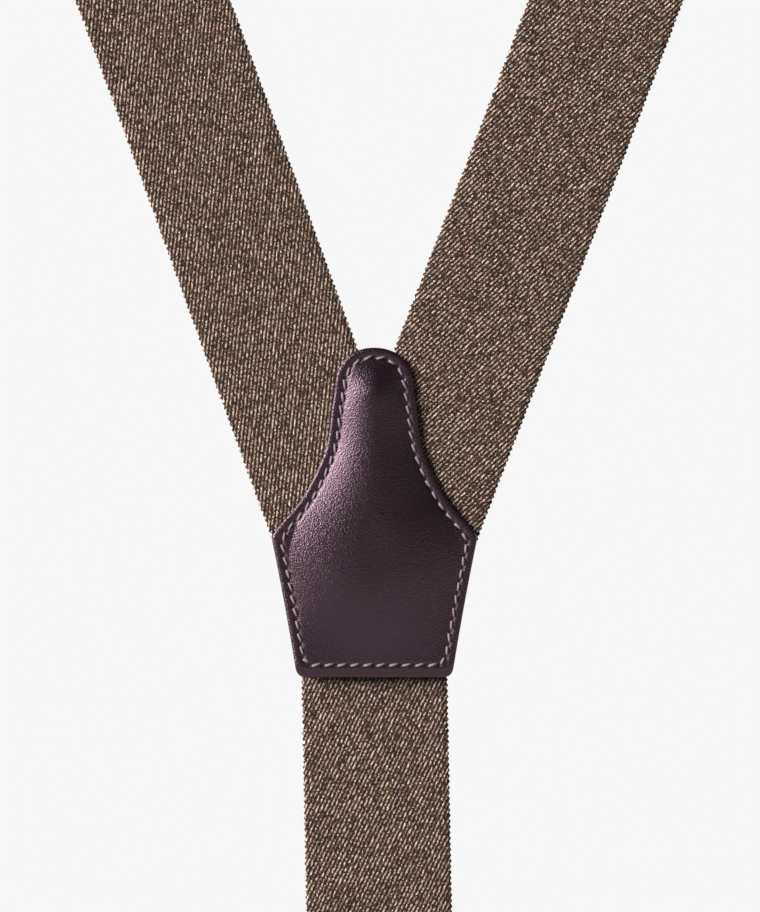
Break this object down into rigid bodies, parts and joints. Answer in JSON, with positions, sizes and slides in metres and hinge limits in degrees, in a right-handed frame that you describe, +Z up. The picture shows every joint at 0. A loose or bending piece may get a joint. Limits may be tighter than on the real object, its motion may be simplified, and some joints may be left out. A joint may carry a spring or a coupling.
{
  "type": "suspenders",
  "caption": "Y-back suspenders in heathered webbing with a domed leather yoke, sliding adjusters on the front straps and lever clips at each end.",
  "frame": {"origin": "midway between the two shoulder straps, at the height of the middle of the webbing on top of the shoulders; nothing of the part is there, the wearer's shoulders hold it up", "axes": "+Z up, +Y from the wearer's back to the front, +X to the wearer's right, so a person behind the wearer looks along +Y"},
  "size_m": [0.2828, 0.2332, 0.5019],
  "materials": {
    "webbing": "heathered brown and beige twill, matt",
    "yoke_leather": "aubergine calf, fine grain, satin",
    "lining_leather": "smooth lining hide, matt",
    "filler": "felt",
    "nickel": "nickel plated steel, polished",
    "pad_plastic": "soft plastic"
  },
  "bodies": {
    "root": {"yoke_face": "yoke_leather", "yoke_padding": "filler", "yoke_lining": "lining_leather", "left_shoulder_strap": "webbing", "right_shoulder_strap": "webbing", "back_strap_run": "webbing"},
    "left_drop": {"left_front_run": "webbing", "left_clip_loop": "webbing", "left_return_run": "webbing"},
    "left_adjuster": {"left_adjuster_frame": "nickel", "left_adjuster_crossbar": "nickel", "left_adjuster_pin": "nickel", "left_return_fold": "webbing"},
    "left_adjuster_lever": {"left_adjuster_lever": "nickel"},
    "left_clip": {"left_clip_base": "nickel", "left_clip_pad": "pad_plastic", "left_clip_pin": "nickel"},
    "left_clip_lever": {"left_clip_lever": "nickel"},
    "right_drop": {"right_front_run": "webbing", "right_clip_loop": "webbing", "right_return_run": "webbing"},
    "right_adjuster": {"right_adjuster_frame": "nickel", "right_adjuster_crossbar": "nickel", "right_adjuster_pin": "nickel", "right_return_fold": "webbing"},
    "right_adjuster_lever": {"right_adjuster_lever": "nickel"},
    "right_clip": {"right_clip_base": "nickel", "right_clip_pad": "pad_plastic", "right_clip_pin": "nickel"},
    "right_clip_lever": {"right_clip_lever": "nickel"},
    "back_end": {"back_strap_fold": "webbing"},
    "back_clip": {"back_clip_base": "nickel", "back_clip_pad": "pad_plastic", "back_clip_pin": "nickel"},
    "back_clip_lever": {"back_clip_lever": "nickel"}
  },
  "joints": [
    {"name": "left_length", "type": "slide", "parent": "root", "child": "left_drop", "axis": [0, 0, 1], "range_m": [-0.03, 0.05], "deforming": ["left_front_run"]},
    {"name": "left_adjuster_slide", "type": "slide", "parent": "left_drop", "child": "left_adjuster", "axis": [0, 0, 1], "range_m": [-0.03, 0.05], "deforming": ["left_return_run"]},
    {"name": "left_adjuster_lever_hinge", "type": "hinge", "parent": "left_adjuster", "child": "left_adjuster_lever", "pos_m": [-0.12036, 0.11395, -0.365], "axis": [1, 0, 0], "range_deg": [0, 100]},
    {"name": "left_clip_swivel", "type": "hinge", "parent": "left_drop", "child": "left_clip", "pos_m": [-0.12036, 0.10735, -0.448], "axis": [1, 0, 0], "range_deg": [-75, 75]},
    {"name": "left_clip_lever_hinge", "type": "hinge", "parent": "left_clip", "child": "left_clip_lever", "pos_m": [-0.12036, 0.11485, -0.491], "axis": [-1, 0, 0], "range_deg": [0, 95]},
    {"name": "right_length", "type": "slide", "parent": "root", "child": "right_drop", "axis": [0, 0, 1], "range_m": [-0.03, 0.05], "deforming": ["right_front_run"]},
    {"name": "right_adjuster_slide", "type": "slide", "parent": "right_drop", "child": "right_adjuster", "axis": [0, 0, 1], "range_m": [-0.03, 0.05], "deforming": ["right_return_run"]},
    {"name": "right_adjuster_lever_hinge", "type": "hinge", "parent": "right_adjuster", "child": "right_adjuster_lever", "pos_m": [0.12036, 0.11395, -0.365], "axis": [1, 0, 0], "range_deg": [0, 100]},
    {"name": "right_clip_swivel", "type": "hinge", "parent": "right_drop", "child": "right_clip", "pos_m": [0.12036, 0.10735, -0.448], "axis": [1, 0, 0], "range_deg": [-75, 75]},
    {"name": "right_clip_lever_hinge", "type": "hinge", "parent": "right_clip", "child": "right_clip_lever", "pos_m": [0.12036, 0.11485, -0.491], "axis": [-1, 0, 0], "range_deg": [0, 95]},
    {"name": "back_stretch", "type": "slide", "parent": "root", "child": "back_end", "axis": [0, 0, 1], "range_m": [-0.06, 0], "stiffness_N_per_m": 180, "springref_m": 0.003, "deforming": ["back_strap_run"]},
    {"name": "back_clip_swivel", "type": "hinge", "parent": "back_end", "child": "back_clip", "pos_m": [0, -0.10545, -0.448], "axis": [1, 0, 0], "range_deg": [-75, 75]},
    {"name": "back_clip_lever_hinge", "type": "hinge", "parent": "back_clip", "child": "back_clip_lever", "pos_m": [0, -0.11295, -0.491], "axis": [1, 0, 0], "range_deg": [0, 95]}
  ],
  "couplings": [
    {"joint": "left_adjuster_slide", "follows": "left_length", "ratio": 1},
    {"joint": "right_adjuster_slide", "follows": "right_length", "ratio": 1}
  ]
}
